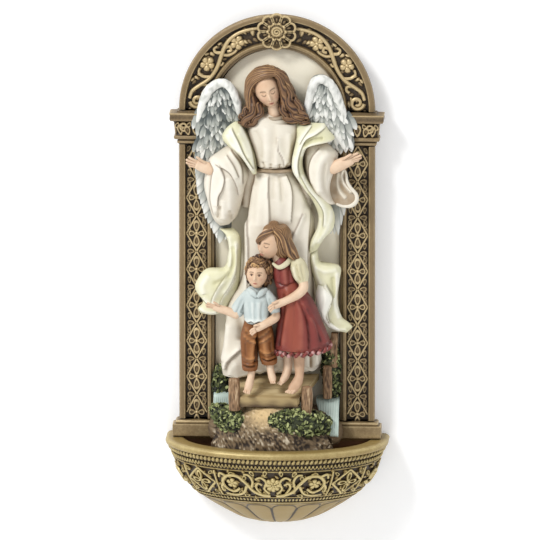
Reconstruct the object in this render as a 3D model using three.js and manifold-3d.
// Holy water stoup: an arched frame with a niche, a guardian angel over two children on a bridge,
// and a half-round bowl.
// Units are millimetres. +X is the viewer's right, +Z is up, the front faces -Y and the wall is the plane y = 0.
// The origin lies on the wall plane, on the centre line, level with the crest of the bowl's rim.
import * as THREE from 'three';
import { mergeVertices } from 'three/addons/utils/BufferGeometryUtils.js';
import Module from 'manifold-3d';

const wasm = await Module();
wasm.setup();

// Gap left where one piece is let into another.
const CLEARANCE = 0.3;

// Frame. Depths are measured from the wall towards the viewer.
const FRAME_HALF_WIDTH = 35.8;
const BAND_WIDTH = 12.8;
const MOULDING_WIDTH = 2.6;
const EDGE_DRAFT = 0.9;
const BOARD_THICKNESS = 4;
const BOARD_INSET = 2;
const NICHE_FACE = 5;
const CHANNEL_FLOOR = 6.6;
const FRAME_FRONT = 9;
const PLINTH_HEIGHT = 4.7;
const PLINTH_CAP_HEIGHT = 1.3;
const PLINTH_OVERHANG = 2.3;
const CAPITAL_BOTTOM = 109.5;
const CAPITAL_HEIGHT = 12.3;
const CAPITAL_OVERHANG = 3.3;
const ABACUS_HEIGHT = 2.9;
const ABACUS_STEP = 0.5;
const TONGUE_HALF_WIDTH = 15;
const TONGUE_LENGTH = 25;

// Lattice in the pilasters.
const DIAMOND_PITCH = 13.4;
const LATTICE_BAR = 0.9;
const LATTICE_RISE = 1.3;

// Rosette at the crown of the arch.
const ROSETTE_RADIUS = 7.3;
const ROSETTE_PETALS = 10;
const ROSETTE_RISE = 2.6;
const ROSETTE_LIFT = 1.2;

// Bowl.
const RIM_HALF_WIDTH = 40.75;
const RIM_DEPTH = 35.5;
const RIM_WIDTH = 6.6;
const RIM_STRAIGHT = 8;
const BOWL_HEIGHT = 33.3;
const CAVITY_DEPTH = 21;
const CAVITY_BACK = 7;
const GADROON_ANGLE = 25.7;
const GADROON_SWELL = 0.9;
const FRIEZE_DROP = 13.3;
const FRIEZE_HALF_HEIGHT = 5.2;
const FRIEZE_BAR = 1.1;
const FRIEZE_RISE = 1.2;
const FRIEZE_ROOT = 0.7;

// Bridge deck: it rises towards the niche.
const DECK_BACK_HEIGHT = 24.3;
const DECK_FRONT_HEIGHT = 18.6;
const DECK_THICKNESS = 2.9;

// Hanger in the back of the board.
const HANGER_WIDTH = 22;
const HANGER_HEIGHT = 9;
const HANGER_THICKNESS = 0.8;
const HANGER_Z = 138;
const NAIL_HEAD_RADIUS = 3;
const NAIL_SLOT_RADIUS = 1.4;
const HANGER_RECESS = 0.8;
const KEYHOLE_DROP = 1;
const KEYHOLE_ROOM = 3;
const SCREW_SPREAD = 8.2;
const SCREW_RADIUS = 0.8;
const SCREW_HEAD_RADIUS = 1.7;
const SCREW_BACK = 0.2;
const SCREW_TIP = 3.2;

// Sizes that follow from those above.
const NICHE_HALF_WIDTH = FRAME_HALF_WIDTH - BAND_WIDTH;
const PILASTER_X = FRAME_HALF_WIDTH - BAND_WIDTH / 2;
const PLINTH_BOTTOM = CLEARANCE;
const PLINTH_TOP = PLINTH_BOTTOM + PLINTH_HEIGHT + PLINTH_CAP_HEIGHT;
const SPRING = CAPITAL_BOTTOM + CAPITAL_HEIGHT;
const CHANNEL_HALF_WIDTH = BAND_WIDTH / 2 - MOULDING_WIDTH;
const BANK_X = NICHE_HALF_WIDTH - 2.6;

const paint = (color, roughness, metalness = 0) => new THREE.MeshStandardMaterial({ color, roughness, metalness });
const GOLD = paint(0x967a4e, 0.55, 0.35);
const CREAM = paint(0xebe4d0, 0.7);
const GOWN = paint(0xf0e8da, 0.7);
const MANTLE = paint(0xd4d39a, 0.7);
const WING = paint(0xe4e7e6, 0.7);
const SKIN = paint(0xe1b491, 0.6);
const HAIR = paint(0x8c5f3c, 0.7);
const DRESS = paint(0x963e3c, 0.7);
const BLOUSE = paint(0xeee8c3, 0.7);
const SHIRT = paint(0xc8dce1, 0.7);
const BREECHES = paint(0xa55f2d, 0.7);
const ROCK = paint(0x826e5f, 0.8);
const LEAF = paint(0x6e783c, 0.8);
const WATER = paint(0xa5bec3, 0.35);
const TIMBER = paint(0xaa915f, 0.8);
const STEEL = paint(0x9a9da1, 0.35, 0.9);

const at = (x, depth, z) => new THREE.Vector3(x, -depth, z);

// A geometry as a solid, turned to face out.
function solidOf(geometry) {
  const bare = new THREE.BufferGeometry();
  bare.setAttribute('position', geometry.getAttribute('position'));
  bare.setIndex(geometry.getIndex());
  const merged = mergeVertices(bare, 1e-4);
  const points = merged.getAttribute('position').array;
  const corners = new Uint32Array(merged.getIndex().array);
  let volume = 0;
  for (let i = 0; i < corners.length; i += 3) {
    const [a, b, c] = [0, 1, 2].map((k) => new THREE.Vector3().fromArray(points, corners[i + k] * 3));
    volume += a.dot(b.cross(c));
  }
  if (volume < 0) {
    for (let i = 0; i < corners.length; i += 3) {
      [corners[i + 1], corners[i + 2]] = [corners[i + 2], corners[i + 1]];
    }
  }
  return new wasm.Manifold(new wasm.Mesh({ numProp: 3, vertProperties: points, triVerts: corners }));
}

// A closed skin over a row of rings, each with as many points as the next, fanned shut at both ends.
function skin(rings) {
  const sides = rings[0].length;
  const points = rings.flat();
  const corners = [];
  for (let i = 0; i + 1 < rings.length; i += 1) {
    for (let j = 0; j < sides; j += 1) {
      const [a, b] = [i * sides + j, i * sides + ((j + 1) % sides)];
      corners.push(a, b, b + sides, a, b + sides, a + sides);
    }
  }
  for (const [ring, start] of [[rings[0], 0], [rings[rings.length - 1], (rings.length - 1) * sides]]) {
    const middle = new THREE.Vector3();
    ring.forEach((p) => middle.addScaledVector(p, 1 / sides));
    points.push(middle);
    for (let j = 0; j < sides; j += 1) {
      const next = start + ((j + 1) % sides);
      if (start === 0) corners.push(points.length - 1, next, start + j);
      else corners.push(points.length - 1, start + j, next);
    }
  }
  const geometry = new THREE.BufferGeometry().setFromPoints(points);
  geometry.setIndex(corners);
  return solidOf(geometry);
}

// Values between the rows of a table, on a smooth curve through them.
function smooth(rows, steps) {
  const row = (i) => rows[Math.min(Math.max(i, 0), rows.length - 1)];
  const out = [];
  for (let i = 0; i + 1 < rows.length; i += 1) {
    for (let s = 0; s < steps; s += 1) {
      const t = s / steps;
      out.push(rows[i].map((b, k) => {
        const [a, c, d] = [row(i - 1)[k], row(i + 1)[k], row(i + 2)[k]];
        return b + 0.5 * t * (c - a + t * (2 * a - 5 * b + 4 * c - d + t * (3 * (b - c) + d - a)));
      }));
    }
  }
  out.push(rows[rows.length - 1]);
  return out;
}

// A modelled form: oval sections carried along a path.
// Each row is [x, depth in front of the niche face, z, half width in the picture plane, half depth].
function form(rows, { sides = 8, steps = 1 } = {}) {
  return (grow) => {
    const stations = smooth(rows, steps);
    const centres = stations.map(([x, depth, z]) => at(x, NICHE_FACE + depth, z));
    const rings = stations.map(([, , , wide, deep], i) => {
      const before = centres[Math.max(i - 1, 0)];
      const after = centres[Math.min(i + 1, centres.length - 1)];
      const along = after.clone().sub(before).normalize();
      const across = along.clone().cross(new THREE.Vector3(0, -1, 0)).normalize();
      const forward = across.clone().cross(along);
      const end = i === 0 ? -grow : i === stations.length - 1 ? grow : 0;
      const centre = centres[i].clone().addScaledVector(along, end);
      return Array.from({ length: sides }, (_, j) => {
        const angle = (2 * Math.PI * (j + 0.5)) / sides;
        return centre.clone()
          .addScaledVector(across, (Math.max(wide, 0.3) + grow) * Math.cos(angle))
          .addScaledVector(forward, (Math.max(deep, 0.3) + grow) * Math.sin(angle));
      });
    });
    return skin(rings);
  };
}

// Several forms grown into one body.
const joined = (...forms) => (grow) => forms.map((make) => make(grow)).reduce((all, one) => all.add(one));

// A box between two corners given as [x, depth, z].
const block = (low, high) => (grow) => {
  const size = high.map((value, k) => value - low[k] + 2 * grow);
  const geometry = new THREE.BoxGeometry(size[0], size[1], size[2]);
  geometry.translate((low[0] + high[0]) / 2, -(low[1] + high[1]) / 2, (low[2] + high[2]) / 2);
  return solidOf(geometry);
};

// A tapering stack of rectangles about a pilaster's axis. Each row is [z, half width, front depth].
const stack = (side, rows) => (grow) => {
  const rings = rows.map(([z, half, front], i) => {
    const height = z + (i === 0 ? -grow : i === rows.length - 1 ? grow : 0);
    const [left, right] = [side * PILASTER_X - half - grow, side * PILASTER_X + half + grow];
    const back = BOARD_THICKNESS - grow;
    const fore = front + grow;
    return [at(left, back, height), at(left, fore, height), at(right, fore, height), at(right, back, height)];
  });
  return skin(rings);
};

// A flat shape drawn in the picture plane, given thickness between two depths.
function slab(shape, near, far, curveSegments) {
  const geometry = new THREE.ExtrudeGeometry(shape, { depth: far - near, bevelEnabled: false, curveSegments });
  geometry.rotateX(Math.PI / 2);
  geometry.translate(0, -near, 0);
  return solidOf(geometry);
}

// An arched outline: straight sides from a foot up to the spring line, and a half circle over them.
function archShape(half, foot) {
  const shape = new THREE.Shape();
  shape.moveTo(-half, foot);
  shape.lineTo(half, foot);
  shape.lineTo(half, SPRING);
  shape.absarc(0, SPRING, half, 0, Math.PI, false);
  shape.closePath();
  return shape;
}

// Section of the frame band from its inner to its outer edge, as [distance from the inner edge, depth].
const BAND_SECTION = [
  [0, BOARD_THICKNESS], [0, FRAME_FRONT - 0.9], [0.7, FRAME_FRONT],
  [MOULDING_WIDTH - 0.5, FRAME_FRONT], [MOULDING_WIDTH, CHANNEL_FLOOR],
  [BAND_WIDTH - MOULDING_WIDTH, CHANNEL_FLOOR], [BAND_WIDTH - MOULDING_WIDTH + 0.5, FRAME_FRONT],
  [BAND_WIDTH - 0.7, FRAME_FRONT], [BAND_WIDTH, FRAME_FRONT - 0.9],
  [BAND_WIDTH - EDGE_DRAFT, BOARD_THICKNESS],
];

const root = new THREE.Group();
const placed = [];

// Adds a piece. It is cut back by the clearance from every piece placed before it, and its main body is kept.
// The envelope is the room that later pieces keep clear of. A piece inside another one's envelope has none.
function place(name, material, make, envelope = make) {
  let body = make(0);
  const box = body.boundingBox();
  for (const other of placed) {
    const apart = [0, 1, 2].some((k) => box.min[k] > other.box.max[k] || box.max[k] < other.box.min[k]);
    if (!apart) body = body.subtract(other.reach);
  }
  const bodies = body.decompose().sort((a, b) => b.volume() - a.volume());
  const { numProp, vertProperties, triVerts } = bodies[0].getMesh();
  const geometry = new THREE.BufferGeometry();
  geometry.setAttribute('position', new THREE.BufferAttribute(vertProperties, numProp));
  geometry.setIndex(new THREE.BufferAttribute(triVerts, 1));
  geometry.computeVertexNormals();
  const mesh = new THREE.Mesh(geometry, material);
  mesh.name = name;
  root.add(mesh);
  if (envelope) {
    const reach = envelope(CLEARANCE);
    placed.push({ reach, box: reach.boundingBox() });
  }
}

// Hanger: a keyhole plate let into the back of the board and held by two screws.
function hangerPlate(grow) {
  const [half, tall] = [HANGER_WIDTH / 2 + grow, HANGER_HEIGHT / 2 + grow];
  const plate = new THREE.Shape();
  plate.moveTo(-half, HANGER_Z - tall);
  plate.lineTo(half, HANGER_Z - tall);
  plate.lineTo(half, HANGER_Z + tall);
  plate.lineTo(-half, HANGER_Z + tall);
  plate.closePath();
  if (grow === 0) {
    const keyhole = new THREE.Path();
    const turn = Math.asin(NAIL_SLOT_RADIUS / NAIL_HEAD_RADIUS);
    const slotTop = HANGER_Z + HANGER_HEIGHT / 2 - NAIL_SLOT_RADIUS - KEYHOLE_DROP;
    keyhole.absarc(0, HANGER_Z - KEYHOLE_DROP, NAIL_HEAD_RADIUS, Math.PI / 2 + turn, Math.PI * 2.5 - turn, false);
    keyhole.absarc(0, slotTop, NAIL_SLOT_RADIUS, 0, Math.PI, false);
    keyhole.closePath();
    plate.holes.push(keyhole);
  }
  return slab(plate, HANGER_RECESS - grow, HANGER_RECESS + HANGER_THICKNESS + grow, 5);
}
// The pocket that the plate needs in the board, open to the wall and deeper behind the nail's head.
const hangerPocket = (grow) => {
  const [half, tall, room] = [HANGER_WIDTH / 2, HANGER_HEIGHT / 2, NAIL_HEAD_RADIUS + KEYHOLE_DROP];
  const seat = block([-half, -1, HANGER_Z - tall], [half, HANGER_RECESS + HANGER_THICKNESS, HANGER_Z + tall]);
  return seat(grow).add(block([-room, 0, HANGER_Z - room], [room, KEYHOLE_ROOM, HANGER_Z + room])(grow));
};
const hangerScrew = (side) => (grow) => {
  const [head, shank] = [SCREW_HEAD_RADIUS + grow, SCREW_RADIUS + grow];
  const [back, under, tip] = [SCREW_BACK - grow, HANGER_RECESS + grow, SCREW_TIP + grow];
  const profile = [[0, back], [head, back], [head, under], [shank, under], [shank, tip], [0, tip]];
  const geometry = new THREE.LatheGeometry(profile.map(([r, depth]) => new THREE.Vector2(r, -depth)), 10);
  geometry.translate(side * SCREW_SPREAD, 0, HANGER_Z);
  return solidOf(geometry);
};

// Frame.
function backboard() {
  const board = slab(archShape(FRAME_HALF_WIDTH - BOARD_INSET, PLINTH_BOTTOM), 0, BOARD_THICKNESS, 14);
  const tongue = block(
    [-TONGUE_HALF_WIDTH, 0, -TONGUE_LENGTH], [TONGUE_HALF_WIDTH, BOARD_THICKNESS, PLINTH_BOTTOM + 1],
  );
  return board.add(tongue(0));
}
const boardReach = block(
  [-TONGUE_HALF_WIDTH, -1, -TONGUE_LENGTH], [TONGUE_HALF_WIDTH, BOARD_THICKNESS, PLINTH_BOTTOM],
);
const nichePanel = (grow) => slab(archShape(NICHE_HALF_WIDTH - CLEARANCE + grow, PLINTH_BOTTOM - grow),
  BOARD_THICKNESS - grow, NICHE_FACE + grow, 12);

function pilaster(side) {
  return () => {
    const corner = ([from, depth]) => new THREE.Vector2(side * (NICHE_HALF_WIDTH + from), -depth);
    const shape = new THREE.Shape(BAND_SECTION.map(corner));
    const geometry = new THREE.ExtrudeGeometry(shape, { depth: CAPITAL_BOTTOM - PLINTH_TOP, bevelEnabled: false });
    geometry.translate(0, 0, PLINTH_TOP);
    return solidOf(geometry);
  };
}
const pilasterReach = (side) => block(
  [side * PILASTER_X - BAND_WIDTH / 2, BOARD_THICKNESS + CLEARANCE, PLINTH_TOP],
  [side * PILASTER_X + BAND_WIDTH / 2, FRAME_FRONT, CAPITAL_BOTTOM],
);

// A strip of open diamonds seated on the floor of a pilaster's channel.
function lattice(side) {
  return () => {
    const pitch = DIAMOND_PITCH;
    const rise = pitch / 2;
    const reach = CHANNEL_HALF_WIDTH - CLEARANCE;
    const slant = Math.hypot(reach, rise);
    const knot = (LATTICE_BAR / 2) * (slant / rise);
    const middle = side * PILASTER_X;
    const top = CAPITAL_BOTTOM - CLEARANCE;
    const count = Math.floor((top - PLINTH_TOP - CLEARANCE) / pitch);
    const shape = new THREE.Shape();
    const right = [];
    for (let i = 0; i < count; i += 1) {
      right.push([knot, top - i * pitch], [reach, top - i * pitch - rise]);
    }
    right.push([knot, top - count * pitch]);
    const left = right.map(([x, z]) => [-x, z]).reverse();
    shape.setFromPoints([...right, ...left].map(([x, z]) => new THREE.Vector2(middle + x, z)));
    shape.closePath();
    const [wide, tall] = [reach - 2 * knot, rise * (1 - (2 * knot) / reach)];
    for (let i = 0; i < count; i += 1) {
      const z = top - i * pitch - rise;
      const hole = new THREE.Path();
      hole.moveTo(middle + wide, z);
      hole.lineTo(middle, z + tall);
      hole.lineTo(middle - wide, z);
      hole.lineTo(middle, z - tall);
      hole.closePath();
      shape.holes.push(hole);
    }
    return slab(shape, CHANNEL_FLOOR, CHANNEL_FLOOR + LATTICE_RISE, 4);
  };
}

const capital = (side) => {
  const shaft = BAND_WIDTH / 2;
  const top = SPRING - ABACUS_STEP;
  const under = top - ABACUS_HEIGHT;
  return stack(side, [
    [CAPITAL_BOTTOM, shaft + 0.4, FRAME_FRONT + 0.4], [CAPITAL_BOTTOM + 1.4, shaft + 0.4, FRAME_FRONT + 0.4],
    [CAPITAL_BOTTOM + 1.7, shaft, FRAME_FRONT], [CAPITAL_BOTTOM + 2, shaft + 1.5, FRAME_FRONT + 1.3],
    [CAPITAL_BOTTOM + 3.4, shaft + 1.5, FRAME_FRONT + 1.3], [CAPITAL_BOTTOM + 3.6, shaft + 0.8, FRAME_FRONT + 0.7],
    [under - 2.3, shaft + 1.2, FRAME_FRONT + 1], [under - 0.2, shaft + 2.3, FRAME_FRONT + 1.8],
    [under, shaft + CAPITAL_OVERHANG, FRAME_FRONT + 2.8], [top, shaft + CAPITAL_OVERHANG, FRAME_FRONT + 2.8],
    [top, shaft + 0.6, FRAME_FRONT + 0.6], [SPRING, shaft + 0.6, FRAME_FRONT + 0.6],
  ]);
};
const plinth = (side) => {
  const half = BAND_WIDTH / 2;
  const shoulder = PLINTH_BOTTOM + PLINTH_HEIGHT;
  return stack(side, [
    [PLINTH_BOTTOM, half + PLINTH_OVERHANG, FRAME_FRONT + 2], [shoulder, half + PLINTH_OVERHANG, FRAME_FRONT + 2],
    [shoulder, half + 1, FRAME_FRONT + 1.2], [PLINTH_TOP, half + 1, FRAME_FRONT + 1.2],
  ]);
};

// The half ring over the niche, with the same section as the pilasters.
function arch(section) {
  const corner = ([from, depth]) => new THREE.Vector2(NICHE_HALF_WIDTH + from, -depth);
  const geometry = new THREE.LatheGeometry([...section, section[0]].map(corner), 32);
  geometry.translate(0, 0, SPRING);
  const room = FRAME_HALF_WIDTH + 5;
  const upper = block([-room, 0, SPRING], [room, FRAME_FRONT + 5, SPRING + room]);
  return solidOf(geometry).intersect(upper(0));
}
const archMoulding = () => arch(BAND_SECTION);
const archReach = (grow) => arch([[-grow, BOARD_THICKNESS + CLEARANCE], [-grow, FRAME_FRONT + grow],
  [BAND_WIDTH + grow, FRAME_FRONT + grow], [BAND_WIDTH + grow, BOARD_THICKNESS + CLEARANCE]]);

// Rosette: a ring of petals round a bud, seated on the two mouldings of the arch.
function rosette(grow) {
  const centre = SPRING + NICHE_HALF_WIDTH + BAND_WIDTH / 2 + ROSETTE_LIFT;
  const around = ROSETTE_PETALS * 2;
  const back = FRAME_FRONT + CLEARANCE;
  const profile = [[1, 0], [1, 0.35], [0.8, 0.75], [0.5, 0.45], [0.42, 0.85], [0.3, 0.6], [0.22, 1]];
  const rings = profile.map(([share, rise]) => Array.from({ length: around }, (_, j) => {
    const angle = (2 * Math.PI * j) / around;
    const lobe = share > 0.45 ? 1 - 0.14 * (1 - Math.abs(Math.sin((angle * ROSETTE_PETALS) / 2))) : 1;
    const radius = ROSETTE_RADIUS * share * lobe + grow;
    const depth = rise === 0 ? back - grow : back + ROSETTE_RISE * rise + grow;
    return at(radius * Math.sin(angle), depth, centre + radius * Math.cos(angle));
  }));
  return skin(rings);
}

// Bowl: half-oval plans stacked down to a gadrooned foot, hollowed from above.
// Each row is [share of the height below the crest, share of the half width].
const BOWL_PROFILE = [
  [0, 0.965], [0.022, 0.99], [0.062, 1], [0.096, 0.985], [0.108, 0.955], [0.229, 0.915], [0.365, 0.88],
  [0.533, 0.8], [0.666, 0.7], [0.79, 0.55], [0.916, 0.36], [0.988, 0.13], [1, 0.06],
];
const GADROON_START = 0.68;
const CAVITY_PROFILE = [
  [-0.05, 1.02], [0, 0.99], [0.143, 0.93], [0.381, 0.86], [0.667, 0.72], [0.905, 0.5], [1, 0.3],
];
function ovalPlan(z, half, back, segments, grow, swell = 0) {
  const straight = Math.max(RIM_STRAIGHT * (half / RIM_HALF_WIDTH), back + 0.5);
  const front = RIM_DEPTH * (half / RIM_HALF_WIDTH);
  const ring = [at(half + grow, back - grow, z)];
  for (let j = 0; j <= segments; j += 1) {
    const angle = (Math.PI * j) / segments;
    const seams = (angle - Math.PI / 2) / THREE.MathUtils.degToRad(GADROON_ANGLE);
    const out = 1 + swell * (Math.abs(Math.sin(Math.PI * seams)) - 1);
    const depth = straight + (front - straight + grow) * out * Math.sin(angle);
    ring.push(at((half + grow) * out * Math.cos(angle), depth, z));
  }
  ring.push(at(-half - grow, back - grow, z));
  return ring;
}
function bowlOutside(grow) {
  const last = BOWL_PROFILE.length - 1;
  return skin(BOWL_PROFILE.map(([drop, share], i) => {
    const swell = drop > GADROON_START ? GADROON_SWELL / (RIM_HALF_WIDTH * share) : 0;
    const height = (i === 0 ? grow : i === last ? -grow : 0) - drop * BOWL_HEIGHT;
    return ovalPlan(height, RIM_HALF_WIDTH * share, 0, 28, grow, swell);
  }));
}
function bowlCavity(grow) {
  const half = RIM_HALF_WIDTH - RIM_WIDTH;
  const plan = ([drop, share]) => ovalPlan(-drop * CAVITY_DEPTH, half * share, CAVITY_BACK, 14, grow);
  return skin(CAVITY_PROFILE.map(plan));
}
const bowl = (grow) => bowlOutside(grow).subtract(bowlCavity(-grow));

// Carving on the frieze.
// A point is [degrees round from the front, share of the frieze's half height up from its middle].
function onBowl([turn, up], lift) {
  const z = up * FRIEZE_HALF_HEIGHT - FRIEZE_DROP;
  const drop = -z / BOWL_HEIGHT;
  const next = BOWL_PROFILE.findIndex(([low]) => low >= drop);
  const [[high, wide], [low, narrow]] = [BOWL_PROFILE[next - 1], BOWL_PROFILE[next]];
  const share = THREE.MathUtils.mapLinear(drop, high, low, wide, narrow);
  const angle = THREE.MathUtils.degToRad(turn);
  const straight = RIM_STRAIGHT * share;
  const front = RIM_DEPTH * share - straight + lift;
  return at((RIM_HALF_WIDTH * share + lift) * Math.sin(angle), straight + front * Math.cos(angle), z);
}
// A raised bar along a line of such points, and a raised boss about one.
function carvedBar(points) {
  return skin(points.map((point, i) => {
    const foot = onBowl(point, 0);
    const out = onBowl(point, 1).sub(foot).normalize();
    const [before, after] = [points[Math.max(i - 1, 0)], points[Math.min(i + 1, points.length - 1)]];
    const across = onBowl(after, 0).sub(onBowl(before, 0)).cross(out).normalize();
    const corners = [[-0.8, -FRIEZE_ROOT], [0, FRIEZE_RISE], [0.8, -FRIEZE_ROOT]];
    return corners.map(([side, lift]) => (
      foot.clone().addScaledVector(across, side * FRIEZE_BAR).addScaledVector(out, lift)
    ));
  }));
}
function carvedBoss(point, radius, sides) {
  const foot = onBowl(point, 0);
  const out = onBowl(point, 1).sub(foot).normalize();
  const across = out.clone().cross(new THREE.Vector3(0, 0, 1)).normalize();
  const upward = across.clone().cross(out);
  return skin([[1, -FRIEZE_ROOT], [1, FRIEZE_RISE * 0.6], [0.4, FRIEZE_RISE]].map(([share, lift]) => (
    Array.from({ length: sides }, (_, j) => {
      const angle = (2 * Math.PI * j) / sides;
      return foot.clone().addScaledVector(out, lift)
        .addScaledVector(across, radius * share * Math.cos(angle))
        .addScaledVector(upward, radius * share * Math.sin(angle));
    })
  )));
}
// One half of the frieze: a scroll panel by the centre line, a diamond panel, and a coil at the end.
function frieze(side) {
  const turned = (points) => points.map(([turn, up]) => [side * turn, up]);
  const lines = [
    [[36, -1], [36, 0], [36, 1]], [[62, -1], [62, 0], [62, 1]],
    [[37, 0], [49, 0.95]], [[49, 0.95], [61, 0]], [[61, 0], [49, -0.95]], [[49, -0.95], [37, 0]],
    [[3, -0.85], [12, -0.55], [18, 0.4], [25, 0.75], [31, 0.1], [26, -0.6]],
    [[5, -0.5], [8, 0.7]], [[17, -0.4], [33, -0.9]],
    [[66, -0.5], [71, 0.65], [83, 0.6], [84, -0.4], [74, -0.5]],
  ];
  const bosses = [[[25, 0.05], 2.2, 5], [[49, 0], 2.6, 6], [[77, 0.05], 1.6, 5]];
  return [...lines.map((points) => carvedBar(turned(points))),
    ...bosses.map(([point, radius, sides]) => carvedBoss(turned([point])[0], radius, sides))];
}
function carvedBowl() {
  const carving = [...frieze(-1), ...frieze(1), carvedBoss([0, 0], 3, 8)];
  return carving.reduce((all, one) => all.add(one), bowl(0));
}

// Bridge deck: a wedge of planks, wider and higher at the back.
function bridgeDeck(grow) {
  const section = (depth, left, right, z) => [
    at(left - grow, depth, z + grow), at(right + grow, depth, z + grow),
    at(right + grow, depth, z - DECK_THICKNESS - grow), at(left - grow, depth, z - DECK_THICKNESS - grow),
  ];
  return skin([
    section(NICHE_FACE + 4 - grow, -17, 16, DECK_BACK_HEIGHT),
    section(NICHE_FACE + 21 + grow, -14.2, 9.2, DECK_FRONT_HEIGHT),
  ]);
}

place('hanger_screw_left', STEEL, hangerScrew(-1));
place('hanger_screw_right', STEEL, hangerScrew(1));
place('hanger_plate', STEEL, hangerPlate, hangerPocket);
place('backboard', GOLD, backboard, boardReach);
place('niche_panel', CREAM, nichePanel);
for (const [side, word] of [[-1, 'left'], [1, 'right']]) {
  place(word + '_lattice', GOLD, lattice(side), null);
  place(word + '_pilaster', GOLD, pilaster(side), pilasterReach(side));
  place(word + '_capital', GOLD, capital(side));
  place(word + '_plinth', GOLD, plinth(side));
}
place('arch_moulding', GOLD, archMoulding, archReach);
place('arch_rosette', GOLD, rosette);
place('bowl', GOLD, carvedBowl, bowl);

// Scenery under the angel.
place('bridge_deck', TIMBER, bridgeDeck);
place('bridge_left_post', TIMBER, form([
  [-14.6, 19, 25.3, 1.8, 1.8], [-14.5, 20, 20, 2, 2], [-14.4, 20.5, 14, 1.9, 1.9],
]));
place('bridge_right_post', TIMBER, form([
  [11.9, 19.5, 22.8, 1.7, 1.7], [11.9, 20, 18, 1.9, 1.9], [11.8, 20, 13, 1.8, 1.8],
]));
place('bridge_far_post', TIMBER, form([
  [BANK_X - 1.7, 8, 27.9, 1.5, 1.6], [BANK_X - 1.7, 8, 23, 1.6, 1.7], [BANK_X - 1.7, 8, 16, 1.6, 1.6],
]));
place('rail_post', TIMBER, form([
  [BANK_X + 0.8, 4.5, 40, 1.3, 1.5], [BANK_X + 0.4, 4.5, 34, 1.5, 1.6], [BANK_X + 0.2, 4.5, 27, 1.6, 1.7],
]));
place('rockery', ROCK, form([
  [-BANK_X - 1.4, 7.6, 4.5, 4.4, 7.6], [-BANK_X + 1.8, 7.8, 4.2, 9, 9], [-11, 11, 0, 15.2, 12.5],
  [-2, 12, -3, 18.2, 13], [8, 11.5, -3, 18, 12.5], [BANK_X - 4, 8, 3, 10.6, 9.6],
  [BANK_X + 0.8, 7.8, 3.4, 4.6, 7.6],
], { sides: 12 }));
place('left_stream', WATER, form([
  [-BANK_X + 1.2, 5.5, 18, 2.4, 3], [-BANK_X + 0.2, 7, 14, 3.2, 3.5], [-BANK_X - 0.2, 7.5, 9, 2.4, 3.5],
  [-BANK_X - 0.2, 7.5, 4, 1.6, 3],
]));
place('right_stream', WATER, form([
  [BANK_X - 1.2, 5.5, 15.5, 3.4, 2.6], [BANK_X - 0.6, 8, 12, 4.2, 3.5], [BANK_X + 0.2, 9, 7, 3, 3.5],
  [BANK_X + 0.8, 9, 2, 1.8, 3],
]));
place('left_bush', LEAF, form([
  [-BANK_X + 0.2, 2.8, 25.5, 1.6, 1.8], [-BANK_X - 0.2, 3, 22, 2.8, 3], [-BANK_X, 3.2, 17, 2.9, 3.2],
  [-BANK_X + 0.2, 3, 13, 1.5, 2],
]));
place('right_bush', LEAF, form([
  [BANK_X - 1, 3, 35, 1.6, 1.8], [BANK_X - 0.8, 3, 31, 2.8, 3], [BANK_X - 0.6, 3.2, 24, 3.2, 3.2],
  [BANK_X, 3, 17, 2.4, 2.6],
]));
place('bank_bush_left', LEAF, form([
  [-22, 12, 11.5, 1.6, 2], [-18.5, 15.5, 10.5, 3.6, 3.5], [-14, 18.5, 8.5, 3.4, 3.5], [-11.5, 20, 8, 1.8, 2],
]));
place('bank_bush_right', LEAF, form([
  [0, 22.5, 10, 1.8, 2], [5, 21.5, 9.5, 3.6, 3.5], [12, 19.5, 9, 3.8, 3.5], [18, 15.5, 8, 3, 3],
]));

// Angel: wings first, then the body, then what lies over it.
place('left_wing', WING, joined(
  form([
    [-19.7, 4.2, 134.2, 1.2, 2], [-20.2, 4.4, 132.4, 4.2, 3], [-21.2, 4.6, 128.4, 6.4, 3.8],
    [-20.7, 4.8, 122.6, 8.2, 4], [-21.8, 5, 116.6, 9, 4], [-23.2, 5.2, 110, 8.4, 3.8],
    [-25, 5.2, 103.4, 6.4, 3.2], [-25.6, 5.2, 101.4, 4.4, 2],
  ], { sides: 10 }),
  form([
    [-26.2, 5.2, 104, 4.2, 2.4], [-26.2, 5, 94, 3.9, 2.6], [-24.6, 4.8, 85, 3.4, 2.6], [-23, 4.6, 78, 2.3, 2.2],
    [-21.9, 4.4, 72.6, 0.8, 1.2],
  ]),
));
place('right_wing', WING, joined(
  form([
    [16.6, 4.2, 136.2, 1.2, 2], [16.4, 4.4, 134.4, 4.2, 3], [17.2, 4.6, 130.2, 6.2, 3.8],
    [17.6, 4.8, 124.2, 7.8, 4], [19.4, 5, 117.6, 8.8, 4], [20, 5.2, 111, 7.6, 3.8], [21.4, 5.2, 105, 5.8, 3],
    [21.6, 5.2, 103, 4.4, 2],
  ], { sides: 10 }),
  form([
    [23, 5.2, 105, 4.2, 2.4], [23.2, 5, 95, 3.8, 2.6], [22.6, 4.8, 86, 3, 2.6], [22, 4.6, 80, 2, 2.2],
    [21.4, 4.4, 75, 0.8, 1.2],
  ]),
));
place('angel_gown', GOWN, form([
  [0, 6, 100.6, 6.7, 5.6], [0.2, 6, 97.6, 8, 6.2], [0.3, 6, 91.6, 10.4, 7], [0.5, 6, 83.6, 11.8, 7.4],
  [1, 6, 75.6, 13.2, 7.6], [0.8, 6, 63.6, 14.6, 7.8], [-0.4, 6, 52.4, 16, 8], [-1.4, 6, 40, 17.6, 8.2],
  [-1.8, 6, 30, 18.3, 8.4], [-1.8, 6, DECK_BACK_HEIGHT - DECK_THICKNESS / 2, 18, 8.2],
], { sides: 14 }));
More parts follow.
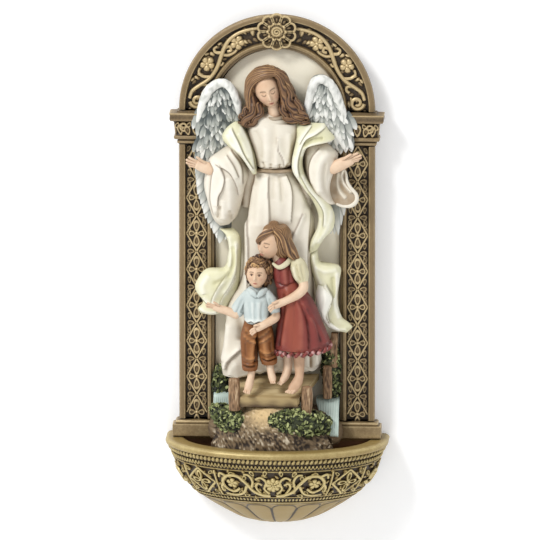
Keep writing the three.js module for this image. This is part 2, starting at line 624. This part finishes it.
place('angel_bodice', GOWN, form([
  [-0.5, 6.4, 121.2, 3.6, 3], [-0.8, 6.5, 119, 8, 5], [-0.9, 6.8, 114.4, 8.4, 6.4], [-0.8, 6.8, 109.2, 7.2, 6.8],
  [-0.7, 6.5, 104.6, 6.6, 6.4], [-0.4, 6.4, 102.2, 6.8, 6],
], { sides: 12 }));
place('angel_sash', GOWN, form([
  [-7.3, 8.2, 101.4, 0.8, 1.2], [-4, 10.8, 101.4, 0.8, 1.2], [0, 12, 101.4, 0.8, 1.2],
  [4, 10.8, 101.4, 0.8, 1.2], [7.3, 8.2, 101.4, 0.8, 1.2],
]));
place('angel_head', SKIN, joined(
  form([[-0.4, 7.2, 120.6, 2.5, 2.6], [-0.9, 7.6, 124, 2.3, 2.6], [-2.2, 8, 129, 2.3, 2.6]]),
  form([
    [-1.3, 9.6, 125.6, 1, 1.6], [-1.8, 9.5, 126.6, 2.2, 3.4], [-2.6, 9.3, 128.8, 3.7, 4.9],
    [-3.5, 9, 132.1, 4.5, 5.6], [-4.4, 8.6, 135.4, 4.4, 5.2], [-4.9, 8.2, 137.8, 3.1, 3.8],
    [-5.1, 8, 138.7, 1.2, 1.6],
  ], { sides: 10 }),
));
place('angel_hair', HAIR, joined(
  form([
    [-2.6, 6, 126.4, 5.2, 4], [-3.7, 6.4, 131.4, 6.2, 5.6], [-4.5, 6.8, 135.8, 5.9, 6], [-5, 7.2, 138.8, 3.6, 4.6],
    [-5.2, 7.2, 140.1, 1.4, 2.4],
  ], { sides: 9 }),
  form([
    [-8, 8, 137, 2, 3], [-9.3, 8, 132, 1.8, 3.4], [-8.5, 8, 126.6, 2.3, 3.6], [-9.6, 9, 121.4, 3, 3.2],
    [-11, 9.5, 118, 2, 1.8],
  ]),
  form([
    [-1.2, 8.4, 138.2, 2.2, 3], [2.4, 8, 133.8, 2.4, 3.4], [4.8, 8, 127.8, 3.2, 3.6], [7.6, 8.6, 123, 3.6, 3.2],
    [9.8, 9, 119, 1.8, 1.8],
  ]),
));
place('angel_left_sleeve', GOWN, form([
  [-13.4, 6.4, 117.2, 2.4, 3], [-14, 7, 113.6, 3.6, 4.6], [-15.2, 8, 109.6, 4.4, 5.2], [-17.4, 8.6, 105, 6.2, 5.8],
  [-18.8, 9, 99.4, 7.4, 6.2], [-19.6, 9, 93.8, 6.6, 6.2], [-18.9, 9, 87, 6, 5.4], [-19.4, 9, 81.8, 3.6, 3.6],
  [-19.4, 9, 79.6, 1.2, 1.6],
], { sides: 10 }));
place('angel_right_sleeve', GOWN, form([
  [12.6, 6.4, 118, 2.4, 3], [14.2, 7, 114.6, 4.6, 4.6], [15.9, 8, 109, 6, 5.4], [16.6, 9, 103.4, 6.6, 6],
  [18.8, 9, 97.4, 7.2, 6.2], [21.8, 9, 91.8, 7, 5.4], [23.4, 9, 88.4, 3.8, 3.2],
], { sides: 10 }));
place('angel_left_hand', SKIN, joined(
  form([
    [-20.5, 11.5, 101.2, 2, 1.8], [-24, 11.4, 102.6, 2.1, 1.7], [-27.2, 11.4, 103.6, 2.1, 1.5],
    [-29.6, 11.6, 104.2, 1.8, 1.2], [-32.4, 12, 104.2, 0.7, 0.7],
  ]),
  form([[-27, 12, 104.8, 0.9, 0.9], [-29.6, 12.6, 106.2, 0.7, 0.7], [-31.4, 12.6, 106.6, 0.4, 0.4]], { sides: 6 }),
));
place('angel_right_hand', SKIN, joined(
  form([
    [20.2, 11.5, 102.6, 2.2, 1.8], [23.4, 11.4, 104.4, 2.2, 1.7], [26, 11.6, 105.6, 2, 1.5],
    [28.4, 11.8, 106.2, 1.8, 1.2], [31.2, 12.2, 106.6, 0.7, 0.7],
  ]),
  form([[25.6, 12, 106.6, 0.9, 0.9], [28, 12.6, 108, 0.7, 0.7], [30, 12.6, 108.4, 0.4, 0.4]], { sides: 6 }),
));
place('mantle_left_shoulder', MANTLE, form([
  [-13.9, 9.4, 118.4, 1.8, 2.4], [-14.6, 11.2, 115.4, 4.4, 3], [-13, 12.4, 111, 4.6, 2.8],
  [-10.4, 13, 106.6, 3.2, 2.3], [-8.6, 13, 102.4, 1.6, 1.7], [-7.8, 12.6, 99.2, 0.6, 1],
]));
place('mantle_left_tail', MANTLE, form([
  [-18.6, 7.6, 79.2, 1.8, 2.6], [-15.9, 8, 76, 2.3, 2.8], [-15.1, 8.6, 70.6, 2.5, 2.8], [-16, 8.8, 65, 3.2, 2.8],
  [-19.6, 8.6, 60.6, 6.4, 2.8], [-21.6, 8.4, 56.4, 7.7, 2.8], [-21.8, 8, 52.4, 5.6, 2.6],
  [-23.4, 7.6, 48.4, 4.8, 1.8], [-24, 7.4, 46.4, 2.6, 1],
]));
place('mantle_right', MANTLE, form([
  [12.8, 9.8, 118.6, 4.8, 2.2], [14.4, 10.8, 115, 6, 2.8], [11.2, 12.4, 111.2, 3.6, 2.8], [8.6, 13, 107.6, 2, 2.6],
  [8, 13.4, 103.6, 2, 2.6], [9.5, 13.6, 98.8, 2.2, 2.6], [12.7, 13.4, 94, 2.5, 2.6], [16.4, 12.8, 89, 3.1, 2.6],
  [18.4, 12, 84.8, 3, 2.6], [17.8, 11, 79.6, 3, 2.6], [14.6, 10.4, 74, 2.6, 2.6], [13.4, 9.8, 69.2, 2.2, 2.6],
]));
place('mantle_right_tail', MANTLE, form([
  [14.2, 9.4, 67.4, 2.8, 2.4], [18, 9.2, 63, 5, 2.8], [18.8, 9, 56.4, 4.1, 2.8], [19.4, 8.8, 50.6, 3.6, 2.6],
  [22, 8.4, 45, 3.6, 2.2], [26, 8, 42, 1.8, 1.4],
]));

// Girl.
place('girl_skirt', DRESS, form([
  [4.4, 16.5, 60.4, 3.9, 3.6], [6.4, 16.6, 56.6, 5.4, 4.8], [8.6, 16.8, 51, 6.8, 5.8], [9.4, 17, 43.6, 8.8, 6.6],
  [9.8, 17, 38.6, 10, 6.8], [9.4, 17, 35, 9, 6.2], [9.2, 17, 34, 7, 5],
], { sides: 12 }));
place('girl_bodice', DRESS, form([
  [2.4, 16.4, 69, 2.8, 2.6], [3, 16.6, 66, 3.8, 3.6], [3.6, 16.8, 63.4, 3.8, 3.8], [4.2, 16.8, 61, 3.8, 3.8],
], { sides: 10 }));
place('girl_head', SKIN, joined(
  form([[1.4, 16.6, 68, 1.8, 1.8], [0.4, 16.8, 71, 1.7, 1.8], [-0.6, 17, 74, 1.7, 1.8]]),
  form([
    [-2.6, 18.4, 69.9, 0.8, 1.2], [-2.3, 18.4, 71, 2.3, 2.8], [-1.8, 18.2, 74.2, 4.2, 4.6], [-1.2, 17.8, 78, 4.7, 5],
    [-0.5, 17.4, 81.2, 3.6, 4], [-0.1, 17.2, 82.8, 1.2, 1.6],
  ], { sides: 10 }),
));
place('girl_hair', HAIR, joined(
  form([
    [3.4, 16.4, 71.4, 2.2, 3], [2.6, 16.2, 75, 4.8, 5], [1.2, 16.6, 79, 6, 5.6], [0.2, 17, 82.2, 4.4, 4.2],
    [0, 17, 83.8, 1.6, 1.8],
  ], { sides: 10 }),
  form([[4.4, 18, 80, 2, 2.6], [6.2, 18.4, 76.4, 2.2, 2.8], [7.6, 18.6, 72.8, 1.8, 2.2], [8.8, 18.6, 70.6, 0.8, 1]]),
));
place('girl_collar', BLOUSE, form([
  [-0.4, 19.6, 69.4, 0.8, 1], [2, 20, 68.4, 1.1, 1.2], [4.6, 19, 69.6, 1.2, 1.3], [6.2, 17.4, 71, 0.9, 1],
]));
place('girl_sleeve', BLOUSE, form([
  [7, 17, 70.6, 1.6, 2], [8.4, 17.8, 68, 2.9, 3.2], [9.6, 18.4, 64.6, 2.9, 3.2], [10.4, 19, 62.2, 2, 2.2],
]));
place('girl_arm', SKIN, form([
  [10.4, 19.2, 62.4, 1.7, 1.7], [10.6, 20.2, 59.8, 1.8, 1.8], [8.4, 21.4, 57.6, 1.7, 1.7],
  [4.6, 22.6, 55.7, 1.4, 1.5], [1, 23.6, 54.6, 1.4, 1.3], [-1.4, 23.8, 53.8, 0.7, 0.8],
]));
place('girl_front_leg', SKIN, form([
  [8.8, 17.6, 36, 2.1, 2.1], [9, 17.8, 31.4, 2, 2], [9.1, 18.6, 27, 1.6, 1.8], [8.2, 20, 24.6, 1.8, 1.8],
  [6.6, 21.8, 22, 1.8, 1.4], [5.6, 22.4, 21, 0.8, 0.8],
]));
place('girl_back_leg', SKIN, form([
  [4.4, 14.8, 36, 1.8, 1.8], [4.8, 15.2, 30, 1.6, 1.7], [4, 16.6, 26.4, 1.5, 1.6], [2.8, 18, 24.4, 1.2, 1.1],
  [2.2, 18.6, 23.6, 0.6, 0.6],
]));

// Boy.
place('boy_breeches', BREECHES, joined(
  form([
    [-7.4, 18.8, 47, 3.4, 3.6], [-9, 19, 41, 3.2, 3.8], [-9, 19, 35.2, 3, 3.6], [-8.9, 19, 30.4, 2.9, 3.2],
    [-8.8, 19, 28.7, 2.3, 2.5],
  ], { sides: 10 }),
  form([
    [-4.6, 18.6, 46.8, 3.2, 3.6], [-3.4, 18.5, 41, 3.2, 3.8], [-2.8, 18.5, 36, 3, 3.5], [-2, 18.5, 32.4, 3, 3.2],
    [-1.9, 18.5, 31, 2.4, 2.4],
  ], { sides: 10 }),
));
place('boy_shirt', SHIRT, joined(
  form([
    [-6, 19, 60, 2.2, 2], [-6.4, 19, 57, 5, 3.4], [-6.6, 19.4, 52.4, 5, 4.2], [-6.2, 19.5, 49, 4.6, 4.4],
    [-6, 19.4, 47.3, 4.4, 4.2],
  ], { sides: 10 }),
  form([
    [-9.6, 19.2, 57.6, 1.6, 1.9], [-12.2, 19.8, 53.6, 2.2, 2.2], [-13.6, 20.2, 50.6, 2.4, 2.2],
    [-14.6, 20.6, 49.4, 1.4, 1.4],
  ]),
  form([
    [-3, 19.6, 58, 1.6, 1.9], [-0.8, 20.2, 54.6, 1.9, 2.2], [0.2, 20.6, 51.4, 1.9, 2.1], [0.4, 20.8, 50, 1.2, 1.4],
  ]),
));
place('boy_right_arm', SKIN, form([
  [0.6, 21, 50.6, 1.5, 1.5], [0.4, 22, 49, 1.6, 1.6], [-3.2, 23.4, 47, 1.5, 1.5], [-6, 24, 45.6, 1.4, 1.2],
  [-8.2, 23.8, 44.2, 0.6, 0.7],
]));
place('boy_left_arm', SKIN, form([
  [-13.6, 20.8, 49.8, 1.7, 1.6], [-17.2, 21.2, 51.2, 1.5, 1.5], [-21, 21.6, 52.4, 1.3, 1.2],
  [-24.4, 22, 53.5, 0.6, 0.6],
]));
place('boy_head', SKIN, joined(
  form([[-6, 19, 58, 1.6, 1.7], [-6.1, 19.2, 60.5, 1.5, 1.7], [-6.2, 19.4, 63, 1.5, 1.7]]),
  form([
    [-6.4, 20.4, 59.6, 0.8, 1.2], [-6.3, 20.4, 60.8, 2.3, 2.6], [-6.2, 20.2, 63.6, 3.9, 4.2],
    [-6, 19.9, 66.6, 4, 4.2], [-5.9, 19.5, 69, 2.6, 3], [-5.9, 19.3, 70, 0.9, 1.2],
  ], { sides: 10 }),
));
place('boy_hair', HAIR, joined(
  form([
    [-5.6, 18, 61, 4, 3], [-5.6, 18, 64.6, 5, 4.4], [-5.8, 18.4, 67.6, 4.9, 4.8], [-6, 18.8, 70, 3.2, 3.4],
    [-6, 18.8, 71, 1, 1.4],
  ], { sides: 10 }),
  form([[-3.2, 20, 68, 1.4, 2], [-1.8, 20.2, 64, 1.7, 2.4], [-1.4, 20, 60.6, 1.6, 2], [-1.8, 19.8, 58.8, 0.8, 1]]),
));
place('boy_left_leg', SKIN, form([
  [-8.2, 19, 29.6, 1.5, 1.6], [-8.5, 19.4, 26.4, 1.3, 1.5], [-9.2, 21, 23.4, 1.5, 1.5], [-9.7, 22.4, 21.4, 1.3, 1],
  [-9.9, 22.8, 20.8, 0.7, 0.6],
]));
place('boy_right_leg', SKIN, form([
  [-1.9, 18.5, 32, 1.4, 1.5], [-1.4, 18.9, 28.8, 1.3, 1.5], [-0.6, 20.2, 26, 1.4, 1.3], [-0.2, 21, 24.6, 1.2, 0.9],
  [0, 21.3, 24, 0.6, 0.6],
]));

export default root;
